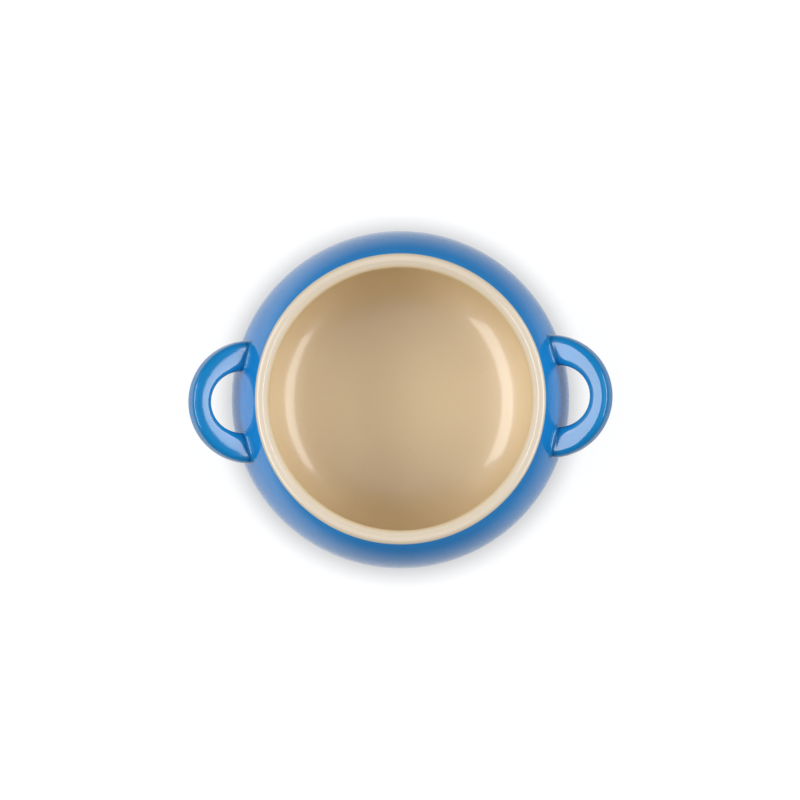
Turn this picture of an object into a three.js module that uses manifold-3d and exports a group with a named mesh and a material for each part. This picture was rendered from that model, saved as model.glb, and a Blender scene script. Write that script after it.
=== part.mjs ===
// Mini cocotte: a small round stoneware pot with two loop handles, glazed blue outside and cream inside.
// Millimetres, +Z up. The origin is the centre of the foot ring, on the surface that the pot stands on.
// +X runs out through the right handle, and -Y is the front.

import * as THREE from "three";
import { mergeVertices } from "three/addons/utils/BufferGeometryUtils.js";
import Module from "manifold-3d";

const wasm = await Module();
wasm.setup();

// Pot, measured over the glaze
const bodyDiameter = 106;
const bellyHeight = 30;
const potHeight = 56;
const mouthInset = 12.78;
const wallThickness = 4.6;
const floorThickness = 5;
const floorDiameter = 52;
const bottomRound = 30;
const bottomLift = 1.2;
const glazeThickness = 0.5;

// Rim, from outside to inside: a round, a flat land, a tight edge, a bevel for a lid, the mouth's own round
const rimOuterRound = 1.8;
const rimLand = 0.4;
const rimInnerEdge = 1.2;
const seatBevelLength = 1.7;
const seatBevelSlope = THREE.MathUtils.degToRad(48);
const mouthRound = 1.5;

// Foot, the only place where the clay is bare
const footDiameter = 67;
const footWidth = 5;
const footRecess = 1.6;
const footChamfer = 0.5;
const baseGlazeMargin = 1;

// Handles, measured over the glaze
const handleProjection = 11.8;
const handleSpan = 38;
const handleTipWidth = 6.26;
const handleRootWidth = 9.7;
const handleTipThickness = 6;
const handleRootThickness = 8.2;
const handleDrop = 10.3;
const handleRise = THREE.MathUtils.degToRad(25.5);
const handleTipSquareness = 4;
const handleRootSquareness = 3.2;
const rootFillet = 1.2;

// Luted joints between the handles and the wall
const slipThickness = 0.9;
const jointGap = 0.3;

// Fineness of the facets
const roundSegments = 48;
const bottomSteps = 6;
const shoulderSteps = 5;
const edgeSteps = 2;
const mouthSteps = 3;
const sectionSides = 12;
const loopSteps = 12;
const filletSteps = 3;
const bisections = 40;

const stoneware = new THREE.MeshStandardMaterial({ color: 0xd9c7a8, roughness: 0.85, metalness: 0 });
const luting = new THREE.MeshStandardMaterial({ color: 0xcdb894, roughness: 0.9, metalness: 0 });
const creamGlaze = new THREE.MeshStandardMaterial({ color: 0xe3d2b4, roughness: 0.2, metalness: 0 });
const blueGlaze = new THREE.MeshStandardMaterial({ color: 0x2c77bd, roughness: 0.12, metalness: 0 });

const upright = Math.PI / 2;
const bellyRadius = bodyDiameter / 2;
const innerBellyRadius = bellyRadius - wallThickness;
const mouthRadius = bellyRadius - mouthInset;
const floorRadius = floorDiameter / 2;
const floorHeight = footRecess + floorThickness;
const footRadius = footDiameter / 2;

// The land and the tight edge of the rim lie where the bevel and the mouth's round leave them.
const innerEdgeRadius =
  mouthRadius +
  mouthRound * (1 - Math.sin(seatBevelSlope)) +
  seatBevelLength * Math.cos(seatBevelSlope) +
  rimInnerEdge * Math.sin(seatBevelSlope);
const outerEdgeRadius = innerEdgeRadius + rimLand;
const rimRound = { x: outerEdgeRadius, y: potHeight - rimOuterRound, radius: rimOuterRound };
const tightEdge = { x: innerEdgeRadius, y: potHeight - rimInnerEdge, radius: rimInnerEdge };
const bevelTop = new THREE.Vector2(
  innerEdgeRadius - rimInnerEdge * Math.sin(seatBevelSlope),
  potHeight - rimInnerEdge * (1 - Math.cos(seatBevelSlope)),
);
const bevelBottom = new THREE.Vector2(
  bevelTop.x - seatBevelLength * Math.cos(seatBevelSlope),
  bevelTop.y - seatBevelLength * Math.sin(seatBevelSlope),
);
const mouth = {
  x: mouthRadius + mouthRound,
  y: bevelBottom.y - mouthRound * Math.cos(seatBevelSlope),
  radius: mouthRound,
};

// An arc that leaves the widest point upright and ends tangent to a round of the rim.
// side is -1 where the round lies within the arc, and 1 where it lies beyond it.
function arcToRound(widest, round, side) {
  const across = widest - round.x;
  const up = round.y - bellyHeight;
  const radius = (across ** 2 + up ** 2 - round.radius ** 2) / (2 * (across + side * round.radius));
  return { x: widest - radius, y: bellyHeight, radius, end: Math.atan2(up, radius - across) };
}

const shoulder = arcToRound(bellyRadius, rimRound, -1);
const innerShoulder = arcToRound(innerBellyRadius, mouth, 1);

function ellipseArc(x, y, across, up, start, end) {
  return new THREE.EllipseCurve(x, y, across, up, start, end, end < start);
}

function circleArc(round, start, end) {
  return ellipseArc(round.x, round.y, round.radius, round.radius, start, end);
}

function line(x0, y0, x1, y1) {
  return new THREE.LineCurve(new THREE.Vector2(x0, y0), new THREE.Vector2(x1, y1));
}

// Points along a run of curves, each with the normal that points out of the clay. The curves run from
// the foot up the outside, over the rim and down to the middle of the floor.
function stationsAlong(runs) {
  const stations = [];
  for (const [curve, steps] of runs) {
    for (let i = stations.length === 0 ? 0 : 1; i <= steps; i += 1) {
      const tangent = curve.getTangent(i / steps);
      stations.push({
        point: curve.getPoint(i / steps),
        normal: new THREE.Vector2(tangent.y, -tangent.x),
      });
    }
  }
  return stations;
}

function offsetPoints(stations, distance) {
  return stations.map(({ point, normal }) => point.clone().addScaledVector(normal, distance));
}

// Blue surface, from the foot to the line where it meets the cream
const bottomCentre = bellyRadius - bottomRound;
const bottomUp = bellyHeight - bottomLift;
const footAngle = Math.acos((footRadius - bottomCentre) / bottomRound);
const outsideStations = stationsAlong([
  [ellipseArc(bottomCentre, bellyHeight, bottomRound, bottomUp, -footAngle, 0), bottomSteps],
  [circleArc(shoulder, 0, shoulder.end), shoulderSteps],
]);

// Cream surface, from that line over the rim and down to the middle of the floor
const innerAcross = innerBellyRadius - floorRadius;
const innerUp = bellyHeight - floorHeight;
const insideStations = stationsAlong([
  [circleArc(rimRound, shoulder.end, upright), edgeSteps],
  [line(outerEdgeRadius, potHeight, innerEdgeRadius, potHeight), 1],
  [circleArc(tightEdge, upright, upright + seatBevelSlope), edgeSteps],
  [new THREE.LineCurve(bevelTop, bevelBottom), 1],
  [circleArc(mouth, upright + seatBevelSlope, Math.PI + innerShoulder.end), mouthSteps],
  [circleArc(innerShoulder, innerShoulder.end, 0), shoulderSteps],
  [ellipseArc(floorRadius, bellyHeight, innerAcross, innerUp, 0, -upright), bottomSteps],
  [line(floorRadius, floorHeight, 0, floorHeight), 1],
]);

// A profile goes round its section with the clay on its left.
function revolve(profile) {
  return new THREE.LatheGeometry(profile, roundSegments).rotateX(Math.PI / 2);
}

// Closed geometry as a solid for cutting and joining, and back
function solidOf(geometry) {
  const bare = geometry.clone();
  bare.deleteAttribute("normal");
  bare.deleteAttribute("uv");
  const merged = mergeVertices(bare);
  return new wasm.Manifold(
    new wasm.Mesh({
      numProp: 3,
      vertProperties: merged.attributes.position.array,
      triVerts: new Uint32Array(merged.index.array),
    }),
  );
}

function geometryOf(solid) {
  const cut = solid.getMesh();
  const geometry = new THREE.BufferGeometry();
  geometry.setAttribute("position", new THREE.BufferAttribute(new Float32Array(cut.vertProperties), 3));
  geometry.setIndex(new THREE.BufferAttribute(new Uint32Array(cut.triVerts), 1));
  geometry.computeVertexNormals();
  return geometry;
}

// Stoneware body: the clay under the glazes, with its bare foot ring
const clayOutside = offsetPoints(outsideStations, -glazeThickness);
const clayInside = offsetPoints(insideStations, -glazeThickness);
const footOuterRadius = clayOutside[0].x;
const footInnerRadius = footOuterRadius - footWidth;

function stonewareBody() {
  const ceiling = footRecess + glazeThickness;
  const foot = [
    new THREE.Vector2(0, ceiling),
    new THREE.Vector2(footInnerRadius, ceiling),
    new THREE.Vector2(footInnerRadius, footChamfer),
    new THREE.Vector2(footInnerRadius + footChamfer, 0),
    new THREE.Vector2(footOuterRadius - footChamfer, 0),
    new THREE.Vector2(footOuterRadius, footChamfer),
  ];
  return revolve([...foot, ...clayOutside, ...clayInside.slice(1)]);
}

// Cream glaze: the coat over the rim and the inside
function interiorGlaze() {
  return revolve([...[...clayInside].reverse(), ...offsetPoints(insideStations, 0)]);
}

// Blue glaze in the recess under the base, short of the foot ring
function baseGlaze() {
  const edge = footInnerRadius - baseGlazeMargin;
  return revolve([
    new THREE.Vector2(0, footRecess),
    new THREE.Vector2(edge, footRecess),
    new THREE.Vector2(edge, footRecess + glazeThickness),
    new THREE.Vector2(0, footRecess + glazeThickness),
  ]);
}

// The outside of the pot as a filled solid, grown from the clay
function filledPot(growth) {
  const outside = offsetPoints(outsideStations, growth - glazeThickness);
  const bottom = outside[0].y;
  const top = outside[outside.length - 1].y;
  return solidOf(revolve([new THREE.Vector2(0, bottom), ...outside, new THREE.Vector2(0, top)]));
}

// Height of a point over the glaze of the wall
function heightOverWall(point) {
  const across = Math.hypot(point.x, point.y);
  if (point.z >= bellyHeight) {
    return Math.hypot(across - shoulder.x, point.z - shoulder.y) - shoulder.radius;
  }
  const sine = Math.min(1, (bellyHeight - point.z) / bottomUp);
  return across - bottomCentre - bottomRound * Math.sqrt(1 - sine ** 2);
}

// Middle line of a handle: half a circle in plan, with straight legs that run in to the middle of the pot
const handleHeight = potHeight - handleDrop;
const loopRadius = (handleSpan - handleRootWidth) / 2;
const loopCentre = bellyRadius + handleProjection - handleTipWidth / 2 - loopRadius;
const halfLoop = upright * loopRadius + loopCentre;
const loopLength = 2 * halfLoop;
const handleNormal = new THREE.Vector3(-Math.sin(handleRise), 0, Math.cos(handleRise));

function turnAt(distance) {
  return THREE.MathUtils.clamp(distance / loopRadius, -upright, upright);
}

class HandleLoop extends THREE.Curve {
  getPoint(share, target = new THREE.Vector3()) {
    const distance = (share - 0.5) * loopLength;
    const turn = turnAt(distance);
    const leg = Math.abs(distance - turn * loopRadius);
    const outward = loopRadius * Math.cos(turn) - leg;
    return target.set(
      loopCentre + outward,
      loopRadius * Math.sin(turn),
      handleHeight + outward * Math.tan(handleRise),
    );
  }
}

const handleLoop = new HandleLoop();

// Section of a handle over the glaze: thinnest and squarest at the tip, and sunk where it is thicker,
// so that the top of the loop stays in one plane
function handleSection(distance) {
  const tipShare = Math.cos(turnAt(distance));
  const halfThickness = THREE.MathUtils.lerp(handleRootThickness, handleTipThickness, tipShare) / 2;
  return {
    halfWidth: THREE.MathUtils.lerp(handleRootWidth, handleTipWidth, tipShare) / 2,
    halfThickness,
    sunk: halfThickness - handleTipThickness / 2,
    squareness: THREE.MathUtils.lerp(handleRootSquareness, handleTipSquareness, tipShare),
  };
}

// A sine or cosine of an ellipse, bent to a squarer curve
function squared(value, squareness) {
  return Math.sign(value) * Math.abs(value) ** (2 / squareness);
}

// A point on the side of a handle, at a distance along it from the tip, with the section grown
function handlePoint(distance, side, growth) {
  const share = distance / loopLength + 0.5;
  const middle = handleLoop.getPoint(share);
  const tangent = handleLoop.getTangent(share);
  const sideways = new THREE.Vector3().crossVectors(tangent, handleNormal).normalize();
  const section = handleSection(distance);
  const angle = (2 * Math.PI * side) / sectionSides;
  const across = (section.halfWidth + growth) * squared(Math.cos(angle), section.squareness);
  const up = (section.halfThickness + growth) * squared(Math.sin(angle), section.squareness);
  return middle.addScaledVector(sideways, across).addScaledVector(handleNormal, up - section.sunk);
}

// Distance along one side of a handle at which it stands at a height over the wall.
// end is 1 for the root where the distance is positive, and -1 for the other root.
function distanceAtHeight(height, side, growth, end) {
  let near = 0;
  let far = halfLoop;
  for (let i = 0; i < bisections; i += 1) {
    const tried = (near + far) / 2;
    if (heightOverWall(handlePoint(end * tried, side, growth)) > height) {
      near = tried;
    } else {
      far = tried;
    }
  }
  return end * near;
}

const sides = Array.from({ length: sectionSides }, (_, side) => side);

function ringAtHeight(height, growth, end) {
  return sides.map((side) => handlePoint(distanceAtHeight(height, side, growth, end), side, growth));
}

function ringAtDistance(distance, growth) {
  return sides.map((side) => handlePoint(distance, side, growth));
}

// A closed skin over a run of rings
function loft(rings) {
  const faces = [];
  const last = (rings.length - 1) * sectionSides;
  for (let start = 0; start < last; start += sectionSides) {
    for (const side of sides) {
      const a = start + side;
      const b = start + ((side + 1) % sectionSides);
      faces.push(a, b + sectionSides, b, a, a + sectionSides, b + sectionSides);
    }
  }
  for (const side of sides.slice(1, -1)) {
    faces.push(0, side, side + 1, last, last + side + 1, last + side);
  }
  const geometry = new THREE.BufferGeometry().setFromPoints(rings.flat());
  geometry.setIndex(faces);
  return geometry;
}

// The bar of clay in a handle, with its legs run on into the wall
function clayBar() {
  const loopEnd = upright * loopRadius;
  const distances = [-halfLoop];
  for (let i = 0; i <= loopSteps; i += 1) {
    distances.push(THREE.MathUtils.lerp(-loopEnd, loopEnd, i / loopSteps));
  }
  distances.push(halfLoop);
  return solidOf(loft(distances.map((distance) => ringAtDistance(distance, -glazeThickness))));
}

// The glazed bar, with a concave fillet where it meets the wall
function glazedBar(growth) {
  const root = (end) => {
    const rings = [ringAtHeight(-2 * glazeThickness - jointGap, growth + rootFillet, end)];
    for (let i = 0; i < filletSteps; i += 1) {
      const angle = (upright * i) / filletSteps;
      const swell = rootFillet * (1 - Math.sin(angle));
      rings.push(ringAtHeight(rootFillet * (1 - Math.cos(angle)), growth + swell, end));
    }
    return rings;
  };
  const loop = [];
  for (let i = 0; i <= loopSteps; i += 1) {
    const share = (2 * i) / loopSteps - 1;
    const end = share < 0 ? -1 : 1;
    loop.push(
      sides.map((side) => {
        const distance = distanceAtHeight(rootFillet, side, growth, end);
        return handlePoint(Math.abs(share) * distance, side, growth);
      }),
    );
  }
  return solidOf(loft([...root(-1), ...loop, ...root(1).reverse()]));
}

const bar = clayBar();
const handleStart = filledPot(2 * jointGap + slipThickness);
const slipTop = filledPot(jointGap + slipThickness);
const slipBottom = filledPot(jointGap);

const handleGeometry = geometryOf(bar.subtract(handleStart));
const handleGlazeGeometry = geometryOf(glazedBar(0).subtract(bar).subtract(slipBottom));
const slipGeometries = bar.intersect(slipTop).subtract(slipBottom).decompose().map(geometryOf);

// Blue glaze: the coat over the outside, open round the handle roots
function exteriorGlaze() {
  const profile = [...offsetPoints(outsideStations, 0), ...[...clayOutside].reverse()];
  const coat = solidOf(revolve([...profile, profile[0].clone()]));
  const root = glazedBar(jointGap);
  return geometryOf(coat.subtract(root).subtract(root.rotate([0, 0, 180])));
}

const cocotte = new THREE.Group();
cocotte.name = "mini_cocotte";

function place(parent, name, geometry, material) {
  const mesh = new THREE.Mesh(geometry, material);
  mesh.name = name;
  parent.add(mesh);
}

place(cocotte, "stoneware_body", stonewareBody(), stoneware);
place(cocotte, "interior_glaze", interiorGlaze(), creamGlaze);
place(cocotte, "exterior_glaze", exteriorGlaze(), blueGlaze);
place(cocotte, "base_glaze", baseGlaze(), blueGlaze);

// Both handles are alike: the left one is turned half round the pot.
for (const [side, turn] of [["right", 0], ["left", Math.PI]]) {
  const group = new THREE.Group();
  group.rotation.z = turn;
  place(group, `${side}_handle`, handleGeometry, stoneware);
  place(group, `${side}_handle_glaze`, handleGlazeGeometry, blueGlaze);
  for (const slip of slipGeometries) {
    slip.computeBoundingBox();
    const across = slip.boundingBox.max.y * Math.cos(turn);
    place(group, `${side}_${across < 0 ? "front" : "back"}_slip_joint`, slip, luting);
  }
  cocotte.add(group);
}

export default cocotte;
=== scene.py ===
"""Looks of a mini cocotte: a small round stoneware pot with two loop handles, blue outside and cream inside.

Metres, +Z up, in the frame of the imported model. The origin is the centre of the foot ring, on the surface
that the pot stands on. +X runs out through the right handle, and -Y is the front.
"""

import math
from collections import namedtuple
from itertools import chain, pairwise

import bpy
from bpy.props import FloatProperty, FloatVectorProperty, IntProperty, PointerProperty
from mathutils import Matrix, Vector


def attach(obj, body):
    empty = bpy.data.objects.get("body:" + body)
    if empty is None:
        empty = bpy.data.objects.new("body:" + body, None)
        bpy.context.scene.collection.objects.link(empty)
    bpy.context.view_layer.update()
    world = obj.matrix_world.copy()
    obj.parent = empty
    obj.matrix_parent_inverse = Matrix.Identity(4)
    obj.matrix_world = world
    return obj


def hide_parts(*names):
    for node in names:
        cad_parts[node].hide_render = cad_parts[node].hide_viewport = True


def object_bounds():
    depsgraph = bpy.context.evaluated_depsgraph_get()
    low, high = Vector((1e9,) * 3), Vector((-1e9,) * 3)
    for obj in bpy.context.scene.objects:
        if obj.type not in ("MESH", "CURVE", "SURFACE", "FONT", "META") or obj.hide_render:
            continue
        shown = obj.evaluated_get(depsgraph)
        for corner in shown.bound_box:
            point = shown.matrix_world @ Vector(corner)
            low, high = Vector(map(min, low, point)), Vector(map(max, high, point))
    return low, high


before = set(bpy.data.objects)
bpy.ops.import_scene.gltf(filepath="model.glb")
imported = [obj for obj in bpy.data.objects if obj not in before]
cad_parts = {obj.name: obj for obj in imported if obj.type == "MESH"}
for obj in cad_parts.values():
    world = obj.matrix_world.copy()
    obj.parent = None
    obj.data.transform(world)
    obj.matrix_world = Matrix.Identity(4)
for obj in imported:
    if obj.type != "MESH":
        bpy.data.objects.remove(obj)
CAD_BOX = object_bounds()

bl_info = {
    "name": "Mini Cocotte",
    "version": (1, 0, 0),
    "blender": (4, 5, 0),
    "location": "3D View > Sidebar > Cocotte",
    "description": "Throws a small stoneware pot, glazes it blue and cream and sets it in a white studio",
    "category": "Object",
}

MM = 0.001
UPRIGHT = math.pi / 2
LOW, HIGH = CAD_BOX

MERGE_DISTANCE = 1e-6
SMOOTH_ANGLE = math.radians(40)
ROOT_DEPTH = 0.1 * MM


def length(name, description, metres):
    return FloatProperty(
        name=name, description=description, default=metres, subtype="DISTANCE", unit="LENGTH", precision=5
    )


def angle(name, description, degrees):
    return FloatProperty(
        name=name, description=description, default=math.radians(degrees), subtype="ANGLE", unit="ROTATION"
    )


def number(name, description, value):
    return FloatProperty(name=name, description=description, default=value, subtype="FACTOR")


def power(name, description, watts):
    return FloatProperty(name=name, description=description, default=watts, subtype="POWER", unit="POWER")


def count(name, description, value):
    return IntProperty(name=name, description=description, default=value, subtype="UNSIGNED")


def colour(name, description, *levels):
    return FloatVectorProperty(
        name=name, description=description, default=levels, subtype="COLOR", min=0, max=1
    )


class PotSizes(bpy.types.PropertyGroup):
    """The pot, measured over its glaze."""

    height: length("Height", "From the table to the top of the rim", HIGH.z - LOW.z)
    body_diameter: length("Body diameter", "Across the belly", HIGH.y - LOW.y)
    belly_height: length("Belly height", "Height of the widest place", 30 * MM)
    mouth_inset: length("Mouth inset", "From the belly in to the mouth", 12.78 * MM)
    wall_thickness: length("Wall thickness", "Wall at the belly", 4.6 * MM)
    floor_thickness: length("Floor thickness", "Floor over the recess in the base", 5 * MM)
    floor_diameter: length("Floor diameter", "Flat part of the floor", 52 * MM)
    bottom_round: length("Bottom round", "Half width of the curve from the belly to the foot", 30 * MM)
    bottom_lift: length("Bottom lift", "Lowest point that the bottom curve aims at", 1.2 * MM)
    glaze_thickness: length("Glaze thickness", "Coat over the clay", 0.5 * MM)
    wheel_steps: count("Wheel steps", "Facets round the pot", 192)


class RimSizes(bpy.types.PropertyGroup):
    """The rim, from the outside in."""

    outer_round: length("Outer round", "Radius of the outer edge", 1.8 * MM)
    land: length("Land", "Width of the flat on top", 0.4 * MM)
    inner_edge: length("Inner edge", "Radius of the tight inner edge", 1.2 * MM)
    bevel_length: length("Bevel length", "Slope that a lid sits on", 1.7 * MM)
    bevel_slope: angle("Bevel slope", "Fall of that slope", 48)
    mouth_round: length("Mouth round", "Radius of the edge of the mouth", 1.5 * MM)


class FootSizes(bpy.types.PropertyGroup):
    """The bare foot ring and the glazed recess inside it."""

    diameter: length("Foot diameter", "Where the blue glaze ends", 67 * MM)
    width: length("Foot width", "Width of the ring", 5 * MM)
    recess: length("Recess", "Depth of the base over the table", 1.6 * MM)
    edge_round: length("Edge round", "Radius of the worn edges of the ring", 0.5 * MM)
    glaze_margin: length("Glaze margin", "Bare clay between the ring and the base glaze", 1 * MM)


class HandleSizes(bpy.types.PropertyGroup):
    """A loop handle, measured over its glaze."""

    projection: length("Projection", "From the belly out to the tip, along the bar", 11.72 * MM)
    span: length("Span", "Across both roots", 38 * MM)
    tip_width: length("Tip width", "Width of the bar at the tip", 6.26 * MM)
    root_width: length("Root width", "Width of the bar at the wall", 9.7 * MM)
    tip_thickness: length("Tip thickness", "Thickness of the bar at the tip", 6 * MM)
    root_thickness: length("Root thickness", "Thickness of the bar at the wall", 8.2 * MM)
    drop: length("Drop", "From the rim down to the loop's middle line at its ends", 10.3 * MM)
    rise: angle("Rise", "Slope of the loop towards its tip", 25.5)
    tip_squareness: number("Tip squareness", "2 is an ellipse, and more is a squarer bar", 4)
    root_squareness: number("Root squareness", "2 is an ellipse, and more is a squarer bar", 3.2)
    fillet: length("Fillet", "Radius where the bar meets the wall", 1.2 * MM)
    side_fillet: number("Side fillet", "Share of the fillet that is left beside the bar", 0.4)
    section_sides: count("Section sides", "Facets round the bar", 48)
    loop_steps: count("Loop steps", "Facets along the bar", 96)
    fillet_steps: count("Fillet steps", "Facets across the fillet", 8)


class FinishColours(bpy.types.PropertyGroup):
    """Colours of the glazes and of the clay."""

    blue: colour("Blue", "Blue glaze at its usual depth", 0.011, 0.26, 0.69)
    deep_blue: colour("Deep blue", "Blue glaze where it lies thick", 0.009, 0.235, 0.64)
    # The handles' two blues are darker copies of the wall's blues: painted shade on the handles.
    shaded_handle_blue: colour("Handle blue", "Blue glaze on the handles at its usual depth", 0.008, 0.235, 0.57)
    shaded_handle_deep: colour("Handle deep", "Blue glaze on the handles where it lies thick", 0.007, 0.215, 0.53)
    # The crease blue is partly glaze run together and partly painted shade in the handles' creases.
    crease_blue_and_shade: colour("Crease blue", "Blue glaze run together at the handles' roots", 0.004, 0.13, 0.38)
    thin_blue: colour("Thin blue", "Blue glaze where it thins out on an edge", 0.1, 0.4, 0.66)
    cream: colour("Cream", "Cream glaze at its usual depth", 0.823, 0.652, 0.388)
    deep_cream: colour("Deep cream", "Cream glaze in the hollows of its mottle", 0.803, 0.627, 0.361)
    # The lighter cream on the middle of the floor is painted light.
    lit_floor_cream: colour("Pooled cream", "Cream glaze run together on the floor", 0.928, 0.752, 0.437)
    # The seat cream is painted light: the slope inside the rim is painted lighter than the rim's top.
    lit_seat_cream: colour("Seat cream", "Cream glaze on the slope inside the rim", 0.95, 0.85, 0.69)
    thin_cream: colour("Thin cream", "Cream glaze where it thins out over the rim", 0.775, 0.65, 0.484)
    clay: colour("Clay", "Bare fired clay", 0.58, 0.44, 0.28)
    clay_grain: colour("Clay grain", "Dark grains in the clay", 0.3, 0.19, 0.1)
    slip: colour("Slip", "Fired slip in the joints", 0.5, 0.38, 0.24)


class StudioSettings(bpy.types.PropertyGroup):
    """Camera, lamps and floor."""

    camera_distance: length("Camera distance", "From the belly up to the camera", 0.9)
    frame_width: length("Frame width", "Width of the picture at the belly", 0.25164)
    camera_aim: FloatVectorProperty(
        name="Camera aim",
        description="Point beside the belly's middle that the camera looks at",
        default=(-0.14 * MM, -0.1 * MM, 0),
        subtype="TRANSLATION",
        unit="LENGTH",
    )
    camera_elevation: angle("Camera elevation", "Angle over the horizon", 89.4)
    camera_roll: angle("Camera roll", "Turn of the camera about its view", -1.1)
    sensor: length("Sensor", "Width of the camera's sensor", 0.036)
    lamp_distance: length("Lamp distance", "From the pot to the softboxes", 1)
    left_lean: angle("Left lean", "Angle between the left softbox and the upright", 44)
    right_lean: angle("Right lean", "Angle between the right softbox and the upright", 53)
    left_turn: angle("Left turn", "Turn of the left softbox towards the front", 4.5)
    lamp_length: length("Lamp length", "Long side of a softbox", 1.13)
    lamp_width: length("Lamp width", "Short side of a softbox", 0.37)
    left_power: power("Left power", "Power of the left softbox", 5)
    right_power: power("Right power", "Power of the right softbox", 4.6)
    floor_size: length("Floor size", "Side of the floor", 8)
    pool_start: length("Pool start", "Where the white card begins to fade", 0.06)
    pool_end: length("Pool end", "Where the white card has faded", 0.16)
    pool_stretch: number("Pool stretch", "How many times the white card is longer from side to side", 1.9)
    pool_shift: length("Pool shift", "How far the white card lies to the left", 0.08)
    # The halo is a painted shadow: the background's own light is weaker beside the pot and gains further
    # out.
    shade_fade_start: length("Halo start", "Where the background's own light begins to gain", 50 * MM)
    shade_fade_end: length("Halo end", "Where the background's own light is full", 63 * MM)
    floor_grey: number("Floor grey", "Floor beyond the white card", 0.1)
    floor_white: number("Floor white", "White card under the pot", 0.8)
    floor_shown: number("Floor shown", "Share of the light on the floor that the camera sees", 0.2)
    floor_glow: number("Floor glow", "The background's own light under the pot", 0.4)
    past_shade_glow: number("Halo glow", "What the background's own light gains beside the pot", 0.45)
    mirror_share: number("Mirror share", "Share of the background's own light that reflections show", 0.08)
    room_light: number("Room light", "Brightness of the room all round", 0.04)
    sky_top: number("Sky top", "Brightness that the room gains overhead", 2.75)
    left_back: number("Left back", "Brightness of the diffuser on the left, at its back", 0.85)
    left_front: number("Left front", "Brightness of the diffuser on the left, at its front", 0.35)
    right_fill: number("Right fill", "Brightness of the diffuser on the right", 0.8)
    back_fill: number("Back fill", "Brightness that the room gains at the back", 0.5)
    fill_hidden: number("Fill hidden", "Share of the light from high up that reflections leave out", 0.9)


class CocotteSettings(bpy.types.PropertyGroup):
    """All that a user can change."""

    pot: PointerProperty(type=PotSizes, name="Pot", description="Sizes of the pot")
    rim: PointerProperty(type=RimSizes, name="Rim", description="Sizes of the rim")
    foot: PointerProperty(type=FootSizes, name="Foot", description="Sizes of the foot")
    handle: PointerProperty(type=HandleSizes, name="Handle", description="Sizes of a handle")
    colours: PointerProperty(type=FinishColours, name="Colours", description="Colours of the finishes")
    studio: PointerProperty(type=StudioSettings, name="Studio", description="Camera, lamps and floor")


# Curves of the pot, as points with a radius for X and a height for Z

Round = namedtuple("Round", "x z radius")
Shoulder = namedtuple("Shoulder", "x z radius end")

BOTTOM_STEPS = 36
SHOULDER_STEPS = 32
EDGE_STEPS = 8
TOUCH = 1e-7


def arc(x, z, across, up, start, end, steps):
    """Points of an elliptical arc, with both of its ends."""
    turns = [start + (end - start) * i / steps for i in range(steps + 1)]
    return [Vector((x + across * math.cos(turn), 0, z + up * math.sin(turn))) for turn in turns]


def circle_arc(piece, start, end, steps):
    return arc(piece.x, piece.z, piece.radius, piece.radius, start, end, steps)


def joined(*runs):
    """Runs of points as one run, without the points that two runs share."""
    points = []
    for point in chain(*runs):
        if not points or (point - points[-1]).length > TOUCH:
            points.append(point)
    return points


def offset(points, distance):
    """The run moved along its normals, which point out of the clay."""
    moved = []
    last = len(points) - 1
    for i, point in enumerate(points):
        tangent = (points[min(i + 1, last)] - points[max(i - 1, 0)]).normalized()
        moved.append(point + distance * Vector((tangent.z, 0, -tangent.x)))
    return moved


def half_round(start, end, steps):
    """Points of half a circle between two ends, on the right of the way from start to end."""
    middle = (start + end) / 2
    arm = start - middle
    bulge = Vector((-arm.z, 0, arm.x))
    turns = [math.pi * i / steps for i in range(1, steps)]
    return [middle + arm * math.cos(turn) + bulge * math.sin(turn) for turn in turns]


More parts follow.
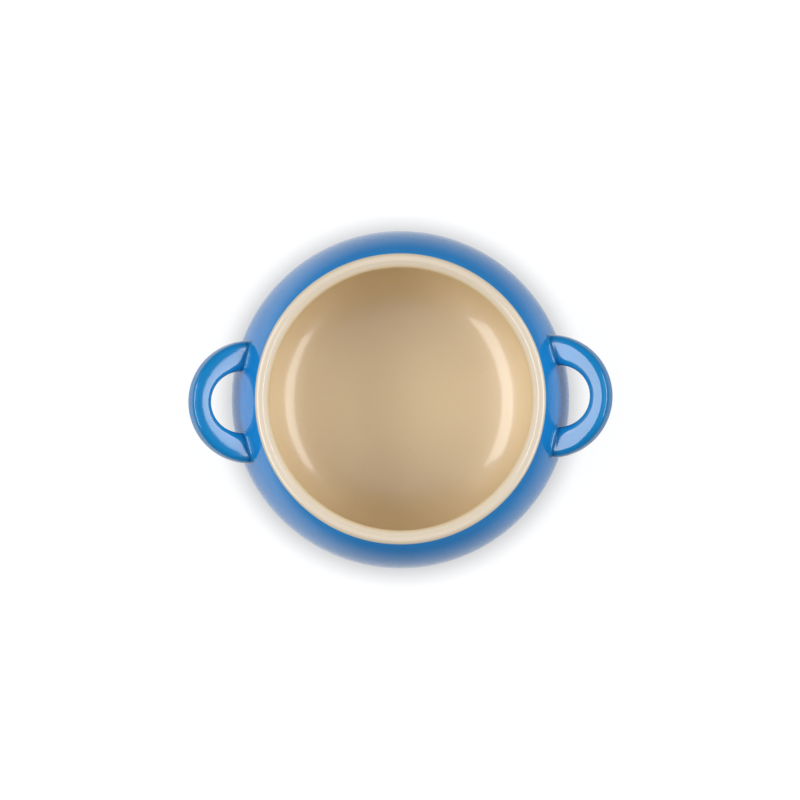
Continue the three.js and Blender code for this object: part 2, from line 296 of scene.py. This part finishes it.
class PotForm:
    """The curves of the pot over its glaze, worked out from its sizes."""

    def __init__(self, settings):
        pot, rim, foot = settings.pot, settings.rim, settings.foot
        self.height = pot.height
        self.belly_height = pot.belly_height
        self.belly_radius = pot.body_diameter / 2
        self.bottom_round = pot.bottom_round
        self.bottom_centre = self.belly_radius - pot.bottom_round
        self.bottom_up = pot.belly_height - pot.bottom_lift
        self.foot_radius = foot.diameter / 2
        self.floor_radius = pot.floor_diameter / 2
        self.floor_height = foot.recess + pot.floor_thickness
        self.inner_radius = self.belly_radius - pot.wall_thickness
        self.bevel_slope = rim.bevel_slope

        self.mouth_radius = self.belly_radius - pot.mouth_inset
        fall, run = math.sin(rim.bevel_slope), math.cos(rim.bevel_slope)
        bevel_start = self.mouth_radius + rim.mouth_round * (1 - fall)
        edge_radius = bevel_start + rim.bevel_length * run + rim.inner_edge * fall
        bevel_foot = pot.height - rim.inner_edge * (1 - run) - rim.bevel_length * fall
        self.rim_round = Round(edge_radius + rim.land, pot.height - rim.outer_round, rim.outer_round)
        self.tight_edge = Round(edge_radius, pot.height - rim.inner_edge, rim.inner_edge)
        self.mouth = Round(
            self.mouth_radius + rim.mouth_round, bevel_foot - rim.mouth_round * run, rim.mouth_round
        )
        self.shoulder = self.arc_to_round(self.belly_radius, self.rim_round, -1)
        self.inner_shoulder = self.arc_to_round(self.inner_radius, self.mouth, 1)
        self.border_height = self.rim_round.z + self.rim_round.radius * math.sin(self.shoulder.end)

    def arc_to_round(self, widest, edge, side):
        """An arc that leaves the widest point upright and ends tangent to an edge of the rim.

        side is -1 where the edge lies within the arc, and 1 where it lies beyond it.
        """
        across = widest - edge.x
        up = edge.z - self.belly_height
        radius = (across**2 + up**2 - edge.radius**2) / (2 * (across + side * edge.radius))
        return Shoulder(widest - radius, self.belly_height, radius, math.atan2(up, radius - across))

    def outside(self):
        """Blue surface, from the foot to the line where it meets the cream."""
        foot_turn = -math.acos((self.foot_radius - self.bottom_centre) / self.bottom_round)
        bottom = (self.bottom_centre, self.belly_height, self.bottom_round, self.bottom_up)
        return joined(
            arc(*bottom, foot_turn, 0, BOTTOM_STEPS),
            circle_arc(self.shoulder, 0, self.shoulder.end, SHOULDER_STEPS),
        )

    def inside(self):
        """Cream surface, from that line over the rim and down to the middle of the floor."""
        bevel_turn = UPRIGHT + self.bevel_slope
        bowl_across = self.inner_radius - self.floor_radius
        bowl = (self.floor_radius, self.belly_height, bowl_across, self.belly_height - self.floor_height)
        return joined(
            circle_arc(self.rim_round, self.shoulder.end, UPRIGHT, EDGE_STEPS),
            circle_arc(self.tight_edge, UPRIGHT, bevel_turn, EDGE_STEPS),
            circle_arc(self.mouth, bevel_turn, math.pi + self.inner_shoulder.end, EDGE_STEPS),
            circle_arc(self.inner_shoulder, self.inner_shoulder.end, 0, SHOULDER_STEPS),
            arc(*bowl, 0, -UPRIGHT, BOTTOM_STEPS),
            [Vector((0, 0, self.floor_height))],
        )

    def height_over_wall(self, point):
        """How far a point stands off the blue wall."""
        across = math.hypot(point.x, point.y)
        if point.z >= self.belly_height:
            reach = math.hypot(across - self.shoulder.x, point.z - self.shoulder.z)
            return reach - self.shoulder.radius
        sine = min(1, (self.belly_height - point.z) / self.bottom_up)
        return across - self.bottom_centre - self.bottom_round * math.sqrt(1 - sine**2)


# Form of a handle

BISECTIONS = 30


def rounded(share, squareness):
    return math.copysign(abs(share) ** (2 / squareness), share)


class HandleForm:
    """The right handle over its glaze: a bar on half a circle in plan, with straight legs into the pot."""

    def __init__(self, sizes, pot):
        self.sizes = sizes
        self.pot = pot
        self.loop_radius = (sizes.span - sizes.root_width) / 2
        self.loop_centre = pot.belly_radius + sizes.projection - sizes.tip_width / 2 - self.loop_radius
        self.half_length = UPRIGHT * self.loop_radius + self.loop_centre
        self.ends_height = pot.height - sizes.drop
        self.climb = math.tan(sizes.rise)
        self.up = Vector((-math.sin(sizes.rise), 0, math.cos(sizes.rise)))

    def spoke(self, side):
        """Angle of one side of the bar's section."""
        return 2 * math.pi * side / self.sizes.section_sides

    def point(self, distance, side, swell):
        """A point on the bar, at a distance along it from the tip, with the section grown by swell."""
        sizes = self.sizes
        turn = max(-UPRIGHT, min(UPRIGHT, distance / self.loop_radius))
        leg = abs(distance - turn * self.loop_radius)
        outward = self.loop_radius * math.cos(turn) - leg
        middle = Vector((
            self.loop_centre + outward,
            self.loop_radius * math.sin(turn),
            self.ends_height + outward * self.climb,
        ))
        along = Vector((-math.sin(turn), math.cos(turn), -math.sin(turn) * self.climb))
        sideways = along.cross(self.up).normalized()
        tip_share = math.cos(turn)
        width = sizes.root_width + (sizes.tip_width - sizes.root_width) * tip_share
        thickness = sizes.root_thickness + (sizes.tip_thickness - sizes.root_thickness) * tip_share
        squareness = sizes.root_squareness + (sizes.tip_squareness - sizes.root_squareness) * tip_share
        sunk = (thickness - sizes.tip_thickness) / 2
        spoke = self.spoke(side)
        return (
            middle
            + sideways * (width / 2 + swell) * rounded(math.cos(spoke), squareness)
            + self.up * ((thickness / 2 + swell) * rounded(math.sin(spoke), squareness) - sunk)
        )

    def distance_at_height(self, height, side, swell, end):
        """Distance along one side of the bar at which it stands at a height over the wall.

        end is 1 for the root where the distance is positive, and -1 for the other root.
        """
        near, far = 0, self.half_length
        for _ in range(BISECTIONS):
            tried = (near + far) / 2
            if self.pot.height_over_wall(self.point(end * tried, side, swell)) > height:
                near = tried
            else:
                far = tried
        return end * near

    def fillet(self, side):
        """Radius of the fillet on one side of the bar, tighter beside the bar than over and under it."""
        sizes = self.sizes
        over = math.sin(self.spoke(side)) ** 2
        return sizes.fillet * (sizes.side_fillet + (1 - sizes.side_fillet) * over)

    def root_rings(self, end):
        """Rings of the fillet that runs out on the wall, from just under the glaze to the bar."""
        sizes = self.sizes
        turns = [UPRIGHT * i / sizes.fillet_steps for i in range(sizes.fillet_steps)]
        shares = [(1 - math.cos(turn), 1 - math.sin(turn)) for turn in turns]
        rings = [[] for _ in range(len(shares) + 1)]
        for side in range(sizes.section_sides):
            fillet = self.fillet(side)
            steps = [(-ROOT_DEPTH, fillet), *((fillet * height, fillet * swell) for height, swell in shares)]
            for ring, (height, swell) in zip(rings, steps):
                ring.append(self.point(self.distance_at_height(height, side, swell, end), side, swell))
        return rings

    def rings(self):
        """Rings of the whole bar, from one root to the other."""
        sizes = self.sizes
        sides = range(sizes.section_sides)
        reach = {
            end: [self.distance_at_height(self.fillet(side), side, 0, end) for side in sides]
            for end in (-1, 1)
        }
        loop = []
        for i in range(sizes.loop_steps + 1):
            share = 2 * i / sizes.loop_steps - 1
            end = 1 if share > 0 else -1
            loop.append([self.point(abs(share) * reach[end][side], side, 0) for side in sides])
        return [*self.root_rings(-1), *loop, *reversed(self.root_rings(1))]


# Modelling with Blender's own tools


def start_piece(name):
    """A piece of one point at the origin, open for editing."""
    bpy.ops.object.select_all(action="DESELECT")
    bpy.ops.mesh.primitive_plane_add(size=MM)
    piece = bpy.context.object
    piece.name = piece.data.name = name
    bpy.ops.object.mode_set(mode="EDIT")
    bpy.ops.mesh.merge(type="CENTER")
    return piece


def throw(name, section, steps):
    """A piece turned on the wheel: the section is drawn point by point and spun about the upright."""
    piece = start_piece(name)
    bpy.ops.transform.translate(value=section[0])
    for start, end in pairwise(section):
        bpy.ops.mesh.extrude_region_move(TRANSFORM_OT_translate={"value": end - start})
    bpy.ops.mesh.select_all(action="SELECT")
    bpy.ops.mesh.spin(steps=steps, angle=2 * math.pi, center=(0, 0, 0), axis=(0, 0, 1))
    bpy.ops.mesh.select_all(action="SELECT")
    bpy.ops.mesh.remove_doubles(threshold=MERGE_DISTANCE)
    bpy.ops.mesh.normals_make_consistent(inside=False)
    bpy.ops.object.mode_set(mode="OBJECT")
    bpy.ops.object.shade_smooth_by_angle(angle=SMOOTH_ANGLE)
    return piece


def loft(name, rings):
    """A closed skin over rings that each follow the wall, which no extrusion of a flat ring gives."""
    sides = len(rings[0])
    faces = []
    for ring in range(len(rings) - 1):
        start = ring * sides
        for side in range(sides):
            beside = (side + 1) % sides
            faces.append((start + side, start + sides + side, start + sides + beside, start + beside))
    last = (len(rings) - 1) * sides
    faces.append(range(sides))
    faces.append(range(last + sides - 1, last - 1, -1))
    mesh = bpy.data.meshes.new(name)
    mesh.from_pydata([point for ring in rings for point in ring], [], faces)
    piece = bpy.data.objects.new(name, mesh)
    bpy.context.collection.objects.link(piece)
    bpy.ops.object.select_all(action="DESELECT")
    piece.select_set(True)
    bpy.context.view_layer.objects.active = piece
    bpy.ops.object.mode_set(mode="EDIT")
    bpy.ops.mesh.select_all(action="SELECT")
    bpy.ops.mesh.normals_make_consistent(inside=False)
    bpy.ops.object.mode_set(mode="OBJECT")
    bpy.ops.object.shade_smooth_by_angle(angle=SMOOTH_ANGLE)
    return piece


def turned_copy(piece, name, turn):
    """A copy with a mesh of its own, turned about the upright."""
    copy = piece.copy()
    copy.data = piece.data.copy()
    copy.name = copy.data.name = name
    copy.data.transform(Matrix.Rotation(turn, 4, "Z"))
    bpy.context.collection.objects.link(copy)
    return copy


def hand_over(piece, node, material):
    """Gives a piece its finish and its body, and hides the CAD node that it stands for."""
    piece.data.materials.clear()
    piece.data.materials.append(material)
    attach(piece, "root")
    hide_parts(node)


# Nodes of the finishes and of the room


class Level:
    """A node's output that takes part in sums, each of which adds its Math node."""

    def __init__(self, recipe, socket):
        self.recipe = recipe
        self.socket = socket

    def math(self, operation, first, second):
        return self.recipe.node("ShaderNodeMath", {"operation": operation}, {0: first, 1: second})

    def __add__(self, other):
        return self.math("ADD", self, other)

    def __radd__(self, other):
        return self.math("ADD", other, self)

    def __sub__(self, other):
        return self.math("SUBTRACT", self, other)

    def __rsub__(self, other):
        return self.math("SUBTRACT", other, self)

    def __mul__(self, other):
        return self.math("MULTIPLY", self, other)

    def __rmul__(self, other):
        return self.math("MULTIPLY", other, self)


class Recipe:
    """The node tree of a finish or of the room."""

    def __init__(self, owner):
        owner.use_nodes = True
        self.tree = owner.node_tree
        self.tree.nodes.clear()

    def node(self, kind, settings=None, inputs=None, output=0):
        """Any node: its settings first, then the values or links of its sockets."""
        node = self.tree.nodes.new(kind)
        for name, value in (settings or {}).items():
            setattr(node, name, value)
        for name, value in (inputs or {}).items():
            if isinstance(value, Level):
                self.tree.links.new(value.socket, node.inputs[name])
            else:
                node.inputs[name].default_value = value
        return Level(self, node.outputs[output]) if node.outputs else None

    def place(self):
        return self.node("ShaderNodeTexCoord", output="Object")

    def height(self):
        return self.node("ShaderNodeSeparateXYZ", inputs={0: self.place()}, output="Z")

    def size(self, vector):
        return self.node("ShaderNodeVectorMath", {"operation": "LENGTH"}, {0: vector}, output="Value")

    def flat(self, vector):
        return self.node("ShaderNodeVectorMath", {"operation": "MULTIPLY"}, {0: vector, 1: (1, 1, 0)})

    def reach(self):
        """Distance from the pot's axis."""
        return self.size(self.flat(self.place()))

    def cloud(self, grain):
        """Soft noise whose patches are about as large as the grain."""
        return self.node(
            "ShaderNodeTexNoise",
            inputs={"Vector": self.place(), "Scale": 1 / grain.size, "Detail": grain.detail},
        )

    def step(self, value, start, end):
        """A smooth step from 0 at start to 1 at end."""
        return self.node(
            "ShaderNodeMapRange",
            {"interpolation_type": "SMOOTHSTEP"},
            {"Value": value, "From Min": start, "From Max": end},
        )

    def blend(self, share, first, second):
        """A colour between two others, each a colour or a link."""
        first, second = (c if isinstance(c, Level) else (*c, 1) for c in (first, second))
        return self.node("ShaderNodeMix", {"data_type": "RGBA"}, {0: share, 6: first, 7: second}, output=2)

    def bump(self, height, distance, strength):
        return self.node(
            "ShaderNodeBump", inputs={"Height": height, "Distance": distance, "Strength": strength}
        )

    def ceramic(self, inputs):
        """The shader of a fired surface, joined to the output."""
        shader = self.node("ShaderNodeBsdfPrincipled", inputs=inputs)
        self.node("ShaderNodeOutputMaterial", inputs={"Surface": shader})


# Finishes

Grain = namedtuple("Grain", "size detail")
Glaze = namedtuple("Glaze", "pools mottle ripple mottle_share roughness ior sheen")

BLUE = Glaze(
    pools=Grain(22 * MM, 2),
    mottle=Grain(1.1 * MM, 3),
    ripple=Grain(7 * MM, 1),
    mottle_share=0.25,
    roughness=0.07,
    ior=1.75,
    sheen=0,
)
CREAM = Glaze(
    pools=Grain(18 * MM, 2),
    mottle=Grain(1.2 * MM, 3),
    ripple=Grain(8 * MM, 1),
    mottle_share=0.3,
    roughness=0.1,
    ior=1.6,
    sheen=1,
)
POOL_EDGE = (0.36, 0.64)
MOTTLE_ROUGHNESS = 0.05
MOTTLE_RELIEF = 0.06
RIPPLE_DEPTH = 0.05 * MM
RIPPLE_STRENGTH = 0.5
SHEEN_ROUGHNESS = 0.5
SHEEN_IOR = 2.2

# Blue along the border, as a height under it, and in the handles' creases, as heights over the wall, where
# glaze run together and painted shade darken it

PALE_WIDTH = 0.5 * MM
PALE_SHARE = 0.6
CREASE_FOOT = (0.4 * MM, 0.9 * MM)
CREASE_TOP = (2 * MM, 1.3 * MM)
CREASE_SHARE = 0.8

# Cream on the floor, measured from the origin, and on the rim, measured from its top and from the mouth:
# painted light on the floor's middle and on the slope inside the rim, and thin glaze over the rim's top

FLOOR_LIGHT = (29 * MM, 7 * MM)
SEAT_FOOT = 2.2 * MM
SEAT_TOP = 0.7 * MM
THIN_START = 1.18 * MM
THIN_END = 2.18 * MM

# Clay

CLAY_SAND = Grain(0.5 * MM, 4)
CLAY_TONE = Grain(9 * MM, 2)
CLAY_SPECKS = Grain(0.9 * MM, 1)
SPECK_EDGE = (0.66, 0.74)
TONE_EDGE = (0.35, 0.7)
SPECK_SHARE = 0.5
TONE_SHARE = 0.25
CLAY_ROUGHNESS = 0.75
SAND_ROUGHNESS = 0.2
SAND_DEPTH = 0.15 * MM
SAND_STRENGTH = 0.7


def new_finish(name):
    material = bpy.data.materials.new(name)
    return material, Recipe(material)


def glaze(name, kind, usual, deep, tint=None):
    """A glossy glaze that pools and thins a little, and whose colour a tint may change in places."""
    material, recipe = new_finish(name)
    pools = recipe.cloud(kind.pools)
    mottle = recipe.cloud(kind.mottle)
    ripple = recipe.cloud(kind.ripple)
    depth = (1 - kind.mottle_share) * pools + kind.mottle_share * mottle
    base = recipe.blend(recipe.step(depth, *POOL_EDGE), deep, usual)
    recipe.ceramic({
        "Base Color": tint(recipe, base) if tint else base,
        "Roughness": kind.roughness + MOTTLE_ROUGHNESS * mottle,
        "IOR": kind.ior,
        "Coat Weight": kind.sheen,
        "Coat Roughness": SHEEN_ROUGHNESS,
        "Coat IOR": SHEEN_IOR,
        "Normal": recipe.bump(ripple + MOTTLE_RELIEF * mottle, RIPPLE_DEPTH, RIPPLE_STRENGTH),
    })
    return material


def recess_blue(colours):
    """Blue glaze under the base."""
    return glaze("blue_glaze_base", BLUE, colours.blue, colours.deep_blue)


def wall_blue(colours, border):
    """Blue glaze that pales at the line where it meets the cream."""

    def pale_edge(recipe, base):
        thin = recipe.step(recipe.height(), border - PALE_WIDTH, border)
        return recipe.blend(PALE_SHARE * thin, base, colours.thin_blue)

    return glaze("blue_glaze_outside", BLUE, colours.blue, colours.deep_blue, pale_edge)


def shaded_handle_blue(colours, shoulder):
    """Blue glaze for the handles, painted darker than the wall's blue as shade, and darker still in the
    crease along the wall: glaze run together there, and painted shade.
    """

    def crease_pool_and_shade(recipe, base):
        arm = recipe.node("ShaderNodeCombineXYZ", inputs={
            "X": recipe.reach() - shoulder.x,
            "Z": recipe.height() - shoulder.z,
        })
        over_wall = recipe.size(arm) - shoulder.radius
        # The crease band darkens the blue: glaze run together there, and painted shade.
        crease = recipe.step(over_wall, *CREASE_FOOT) * recipe.step(over_wall, *CREASE_TOP)
        return recipe.blend(CREASE_SHARE * crease, base, colours.crease_blue_and_shade)

    return glaze("shaded_blue_glaze_handles", BLUE, colours.shaded_handle_blue, colours.shaded_handle_deep, crease_pool_and_shade)


def inside_cream(colours, form):
    """Cream glaze with painted light, lighter on the middle of the floor and on the slope inside the rim,
    which thins over the rim.
    """

    def floor_and_rim(recipe, base):
        # Painted light: the floor's middle turns to a lighter cream.
        floor_light = recipe.step(recipe.size(recipe.place()), *FLOOR_LIGHT)
        bowl = recipe.blend(floor_light, base, colours.lit_floor_cream)
        mouth = form.mouth_radius
        thin = recipe.step(recipe.reach(), mouth + THIN_START, mouth + THIN_END)
        # Painted light: the slope inside the rim is lighter, turning to the thin cream over the rim's top.
        rim = recipe.blend(thin, colours.lit_seat_cream, colours.thin_cream)
        on_rim = recipe.step(recipe.height(), form.height - SEAT_FOOT, form.height - SEAT_TOP)
        return recipe.blend(on_rim, bowl, rim)

    return glaze("cream_glaze_inside", CREAM, colours.cream, colours.deep_cream, floor_and_rim)


def bare_clay(name, body, grain):
    """Dull fired clay with dark grains and a sandy surface."""
    material, recipe = new_finish(name)
    sand = recipe.cloud(CLAY_SAND)
    tone = recipe.step(recipe.cloud(CLAY_TONE), *TONE_EDGE)
    specks = recipe.step(recipe.cloud(CLAY_SPECKS), *SPECK_EDGE)
    recipe.ceramic({
        "Base Color": recipe.blend(SPECK_SHARE * specks + TONE_SHARE * tone, body, grain),
        "Roughness": CLAY_ROUGHNESS + SAND_ROUGHNESS * sand,
        "Normal": recipe.bump(sand, SAND_DEPTH, SAND_STRENGTH),
    })
    return material


# Operators, one for each piece or group of like pieces


class CocotteOperator:
    """What every step of the making shares."""

    bl_options = {"REGISTER", "UNDO"}

    def execute(self, context):
        self.make(context.scene.cocotte)
        return {"FINISHED"}


class COCOTTE_OT_clay_body(CocotteOperator, bpy.types.Operator):
    """Throw the clay pot with its foot ring."""

    bl_idname = "cocotte.clay_body"
    bl_label = "Clay body"

    def make(self, settings):
        form = PotForm(settings)
        foot = settings.foot
        glaze = settings.pot.glaze_thickness
        outside = offset(form.outside(), -glaze)
        inside = offset(form.inside(), -glaze)
        ceiling = foot.recess + glaze
        outer = outside[0].x
        inner = outer - foot.width
        worn = foot.edge_round
        ring = [
            Vector((0, 0, ceiling)),
            Vector((inner, 0, ceiling)),
            *arc(inner + worn, worn, worn, worn, math.pi, 1.5 * math.pi, EDGE_STEPS),
            *arc(outer - worn, worn, worn, worn, -UPRIGHT, 0, EDGE_STEPS),
        ]
        piece = throw("clay_body", joined(ring, outside, inside), settings.pot.wheel_steps)
        clay = bare_clay("bare_stoneware", settings.colours.clay, settings.colours.clay_grain)
        hand_over(piece, "stoneware_body", clay)


class COCOTTE_OT_cream_coat(CocotteOperator, bpy.types.Operator):
    """Dip the inside and the rim in cream glaze."""

    bl_idname = "cocotte.cream_coat"
    bl_label = "Cream coat"

    def make(self, settings):
        form = PotForm(settings)
        surface = form.inside()
        under = offset(surface, -settings.pot.glaze_thickness)
        piece = throw("cream_coat", joined(reversed(surface), under), settings.pot.wheel_steps)
        hand_over(piece, "interior_glaze", inside_cream(settings.colours, form))


class COCOTTE_OT_blue_coat(CocotteOperator, bpy.types.Operator):
    """Dip the outside in blue glaze, down to a rolled edge over the foot."""

    bl_idname = "cocotte.blue_coat"
    bl_label = "Blue coat"

    def make(self, settings):
        form = PotForm(settings)
        surface = form.outside()
        under = offset(surface, -settings.pot.glaze_thickness)
        rolled = half_round(under[0], surface[0], EDGE_STEPS)
        section = joined(surface, reversed(under), rolled, surface[:1])
        piece = throw("blue_coat", section, settings.pot.wheel_steps)
        finish = wall_blue(settings.colours, form.border_height)
        hand_over(piece, "exterior_glaze", finish)


class COCOTTE_OT_base_coat(CocotteOperator, bpy.types.Operator):
    """Glaze the recess under the base."""

    bl_idname = "cocotte.base_coat"
    bl_label = "Base coat"

    def make(self, settings):
        foot = settings.foot
        glaze = settings.pot.glaze_thickness
        edge = PotForm(settings).outside()[0].x - glaze - foot.width - foot.glaze_margin
        section = joined(
            [Vector((0, 0, foot.recess))],
            arc(edge - glaze, foot.recess + glaze, glaze, glaze, -UPRIGHT, 0, EDGE_STEPS),
            [Vector((0, 0, foot.recess + glaze))],
        )
        piece = throw("base_coat", section, settings.pot.wheel_steps)
        hand_over(piece, "base_glaze", recess_blue(settings.colours))


class COCOTTE_OT_handles(CocotteOperator, bpy.types.Operator):
    """Pull the two loop handles and glaze them blue."""

    bl_idname = "cocotte.handles"
    bl_label = "Handles"

    def make(self, settings):
        pot = PotForm(settings)
        form = HandleForm(settings.handle, pot)
        right = loft("right_loop", form.rings())
        left = turned_copy(right, "left_loop", math.pi)
        finish = shaded_handle_blue(settings.colours, pot.shoulder)
        hand_over(right, "right_handle_glaze", finish)
        hand_over(left, "left_handle_glaze", finish)


class COCOTTE_OT_hidden_clay(CocotteOperator, bpy.types.Operator):
    """Finish the clay in the handles and the slip in their joints, which stay as they were built."""

    bl_idname = "cocotte.hidden_clay"
    bl_label = "Hidden clay"

    def make(self, settings):
        colours = settings.colours
        clay = bare_clay("handle_stoneware", colours.clay, colours.clay_grain)
        slip = bare_clay("fired_slip", colours.slip, colours.clay_grain)
        for side in ("left", "right"):
            self.finish(f"{side}_handle", clay)
            for end in ("front", "back"):
                self.finish(f"{side}_{end}_slip_joint", slip)

    def finish(self, node, material):
        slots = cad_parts[node].material_slots
        if not slots:
            raise RuntimeError(f"{node} has no material slot")
        for slot in slots:
            slot.material = material


# Edges of the room's diffusers: the parts of a direction between which each one fades in

LEFT_GAIN = (-0.3, 0.3)
LEFT_SIDE = (-0.5, -0.8)
LEFT_FOOT = (0.2, 0.35)
LEFT_TOP = (0.99, 0.9)
RIGHT_SIDE = (0.5, 0.8)
RIGHT_FOOT = (0.25, 0.5)
RIGHT_TOP = (0.98, 0.8)
BACK_SIDE = (0.3, 0.8)
BACK_FOOT = (0.1, 0.25)
BACK_TOP = (0.8, 0.6)
OVERHEAD = (0.9, 0.985)
HIDDEN = (0.55, 0.7)


class COCOTTE_OT_studio(CocotteOperator, bpy.types.Operator):
    """Set the pot on a white floor between two softboxes, under the camera."""

    bl_idname = "cocotte.studio"
    bl_label = "Studio"

    def make(self, settings):
        studio = settings.studio
        target = Vector((0, 0, settings.pot.belly_height))
        self.floor(studio)
        self.room(studio)
        left = (-studio.left_lean, studio.left_turn, studio.left_power)
        self.softbox("left_softbox", studio, target, *left)
        right = (studio.right_lean, 0, studio.right_power)
        self.softbox("right_softbox", studio, target, *right)
        self.camera(studio, target)
        bpy.context.scene.view_settings.view_transform = "Standard"

    def floor(self, studio):
        bpy.ops.object.select_all(action="DESELECT")
        bpy.ops.mesh.primitive_plane_add(size=studio.floor_size)
        floor = bpy.context.object
        floor.name = floor.data.name = "studio_floor"
        material, recipe = new_finish("studio_floor")
        seen = recipe.node("ShaderNodeLightPath", output="Is Camera Ray")
        mirrored = recipe.node("ShaderNodeLightPath", output="Is Glossy Ray")
        through = recipe.node("ShaderNodeLightPath", output="Is Transmission Ray")
        card_place = recipe.node("ShaderNodeMapping", inputs={
            "Vector": recipe.place(),
            "Location": (studio.pool_shift / studio.pool_stretch, 0, 0),
            "Scale": (1 / studio.pool_stretch, 1, 0),
        })
        beyond = recipe.step(recipe.size(card_place), studio.pool_start, studio.pool_end)
        card = studio.floor_white + (studio.floor_grey - studio.floor_white) * beyond
        # Painted shadow: the floor's glow is lower beside the pot and gains further out.
        past_shade = studio.past_shade_glow * recipe.step(recipe.reach(), studio.shade_fade_start, studio.shade_fade_end)
        shown = seen + studio.mirror_share * (mirrored + through)
        recipe.ceramic({
            "Base Color": card + seen * (studio.floor_shown - card),
            "Roughness": 1,
            "Specular IOR Level": 0,
            "Emission Color": shown * (studio.floor_glow + past_shade),
            "Emission Strength": 1,
        })
        floor.data.materials.append(material)

    def room(self, studio):
        """A dim room with diffusers on both sides, at the back and overhead, as in a light tent."""
        world = bpy.data.worlds.new("studio_room")
        bpy.context.scene.world = world
        recipe = Recipe(world)
        direction = recipe.node("ShaderNodeTexCoord", output="Generated")
        flat = recipe.flat(direction)
        heading = recipe.node("ShaderNodeVectorMath", {"operation": "NORMALIZE"}, {0: flat})
        mirrored = recipe.node("ShaderNodeLightPath", output="Is Glossy Ray")
        up = recipe.node("ShaderNodeSeparateXYZ", inputs={0: direction}, output="Z")
        across = recipe.node("ShaderNodeSeparateXYZ", inputs={0: heading}, output="X")
        deep = recipe.node("ShaderNodeSeparateXYZ", inputs={0: heading}, output="Y")
        gain = (studio.left_back - studio.left_front) * recipe.step(deep, *LEFT_GAIN)
        left = (studio.left_front + gain) * recipe.step(across, *LEFT_SIDE)
        left = left * recipe.step(up, *LEFT_FOOT) * recipe.step(up, *LEFT_TOP)
        right = studio.right_fill * recipe.step(across, *RIGHT_SIDE)
        right = right * recipe.step(up, *RIGHT_FOOT) * recipe.step(up, *RIGHT_TOP)
        back = studio.back_fill * recipe.step(deep, *BACK_SIDE)
        back = back * recipe.step(up, *BACK_FOOT) * recipe.step(up, *BACK_TOP)
        overhead = studio.sky_top * recipe.step(up, *OVERHEAD)
        shown = 1 - studio.fill_hidden * mirrored * recipe.step(up, *HIDDEN)
        strength = studio.room_light + back * (1 - mirrored) + shown * (overhead + left + right)
        sky = recipe.node("ShaderNodeBackground", inputs={"Strength": strength})
        recipe.node("ShaderNodeOutputWorld", inputs={"Surface": sky})

    def softbox(self, name, studio, target, lean, turn, watts):
        away = Matrix.Rotation(turn, 3, "Z") @ Vector((math.sin(lean), 0, math.cos(lean)))
        bpy.ops.object.light_add(
            type="AREA",
            location=target + away * studio.lamp_distance,
            rotation=away.to_track_quat("Z", "Y").to_euler(),
        )
        lamp = bpy.context.object
        lamp.name = lamp.data.name = name
        lamp.data.shape = "RECTANGLE"
        lamp.data.size = studio.lamp_length
        lamp.data.size_y = studio.lamp_width
        lamp.data.energy = watts
        lamp.visible_camera = False

    def camera(self, studio, target):
        elevation = studio.camera_elevation
        back = Vector((0, -math.cos(elevation), math.sin(elevation)))
        aim = back.to_track_quat("Z", "Y").to_matrix() @ Matrix.Rotation(studio.camera_roll, 3, "Z")
        place = target + studio.camera_aim + back * studio.camera_distance
        bpy.ops.object.camera_add(location=place, rotation=aim.to_euler())
        camera = bpy.context.object
        camera.name = camera.data.name = "studio_camera"
        camera.data.sensor_width = studio.sensor / MM
        camera.data.lens = camera.data.sensor_width * studio.camera_distance / studio.frame_width
        bpy.context.scene.camera = camera


class COCOTTE_PT_panel(bpy.types.Panel):
    """Lists the steps of the making."""

    bl_idname = "COCOTTE_PT_panel"
    bl_label = "Mini cocotte"
    bl_space_type = "VIEW_3D"
    bl_region_type = "UI"
    bl_category = "Cocotte"

    def draw(self, context):
        for step in STEPS:
            self.layout.operator(step.bl_idname)


STEPS = (
    COCOTTE_OT_clay_body,
    COCOTTE_OT_cream_coat,
    COCOTTE_OT_blue_coat,
    COCOTTE_OT_base_coat,
    COCOTTE_OT_handles,
    COCOTTE_OT_hidden_clay,
    COCOTTE_OT_studio,
)
CLASSES = (
    PotSizes,
    RimSizes,
    FootSizes,
    HandleSizes,
    FinishColours,
    StudioSettings,
    CocotteSettings,
    *STEPS,
    COCOTTE_PT_panel,
)


def register():
    for cls in CLASSES:
        bpy.utils.register_class(cls)
    bpy.types.Scene.cocotte = PointerProperty(type=CocotteSettings)


def unregister():
    del bpy.types.Scene.cocotte
    for cls in reversed(CLASSES):
        bpy.utils.unregister_class(cls)


def main():
    register()
    bpy.ops.cocotte.clay_body()
    bpy.ops.cocotte.cream_coat()
    bpy.ops.cocotte.blue_coat()
    bpy.ops.cocotte.base_coat()
    bpy.ops.cocotte.handles()
    bpy.ops.cocotte.hidden_clay()
    bpy.ops.cocotte.studio()


if __name__ == "__main__":
    main()
